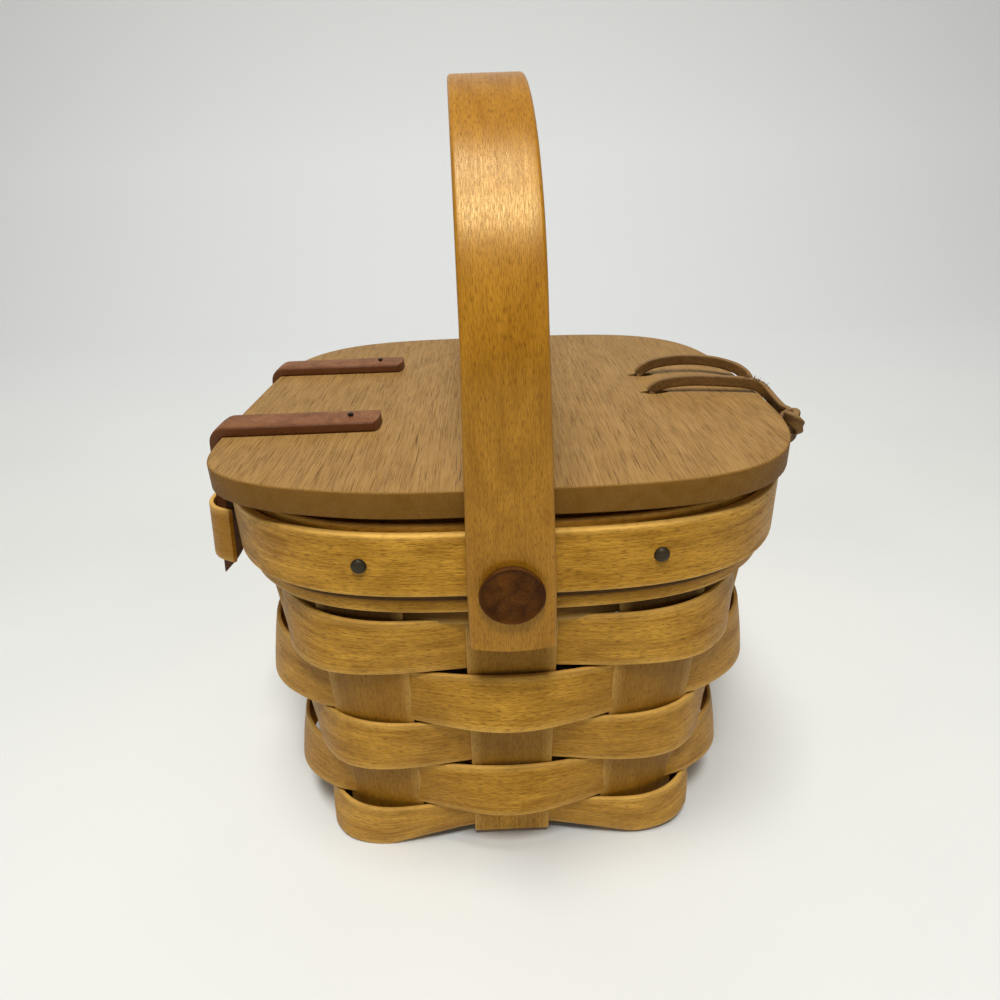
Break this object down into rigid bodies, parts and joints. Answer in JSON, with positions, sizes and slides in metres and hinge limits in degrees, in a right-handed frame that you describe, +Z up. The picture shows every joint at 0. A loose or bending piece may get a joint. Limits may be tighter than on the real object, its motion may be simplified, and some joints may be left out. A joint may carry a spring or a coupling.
{
  "type": "picnic basket",
  "caption": "Small square woven splint basket with a wooden lid on leather hinge straps and an upright swing handle.",
  "frame": {"origin": "on the floor under the middle of the base", "axes": "+Z up, front face with one handle rivet towards -Y, hinge straps on the -X side, pull thong on the +X side"},
  "size_m": [0.16, 0.162, 0.2015],
  "materials": {
    "splint_wood": "satin oiled splint, golden brown",
    "handle_wood": "satin bent wood, golden brown",
    "lid_wood": "dull oiled board, brown with dark pores",
    "strap_leather": "matt vegetable-tanned leather, reddish brown",
    "thong_leather": "matt lace leather, dark olive brown",
    "nail_steel": "dull grey-green steel",
    "rivet_copper": "dark brown patina"
  },
  "bodies": {
    "basket": {"splint_front_to_back_left": "splint_wood", "splint_front_to_back_middle": "splint_wood", "splint_front_to_back_right": "splint_wood", "splint_side_to_side_front": "splint_wood", "splint_side_to_side_middle": "splint_wood", "splint_side_to_side_back": "splint_wood", "weaver_row_1": "splint_wood", "weaver_row_2": "splint_wood", "weaver_row_3": "splint_wood", "weaver_row_4": "splint_wood", "weaver_row_5": "splint_wood", "weaver_row_6": "splint_wood", "second_band": "splint_wood", "outer_band": "splint_wood", "inner_band": "splint_wood", "band_nail_front_left": "nail_steel", "band_nail_front_right": "nail_steel", "band_nail_right_front": "nail_steel", "band_nail_right_back": "nail_steel", "band_nail_back_right": "nail_steel", "band_nail_back_left": "nail_steel", "keeper_nail_front": "nail_steel", "keeper_nail_back": "nail_steel", "handle_rivet_front": "rivet_copper", "handle_rivet_back": "rivet_copper", "rivet_burr_front": "rivet_copper", "rivet_burr_back": "rivet_copper", "hinge_strap_front_rim": "strap_leather", "hinge_strap_back_rim": "strap_leather", "hinge_keeper": "splint_wood"},
    "handle": {"handle": "handle_wood"},
    "lid": {"lid_board": "lid_wood", "hinge_strap_front_lid": "strap_leather", "hinge_strap_back_lid": "strap_leather", "strap_tack_front": "nail_steel", "strap_tack_back": "nail_steel", "pull_thong": "thong_leather", "thong_knot": "thong_leather"}
  },
  "joints": [
    {"name": "handle_swing", "type": "hinge", "parent": "basket", "child": "handle", "pos_m": [0, 0, 0.1001], "axis": [0, 1, 0], "range_deg": [-130, 130]},
    {"name": "lid_hinge", "type": "hinge", "parent": "basket", "child": "lid", "pos_m": [-0.07554, 0, 0.11365], "axis": [0, -1, 0], "range_deg": [0, 19]}
  ]
}
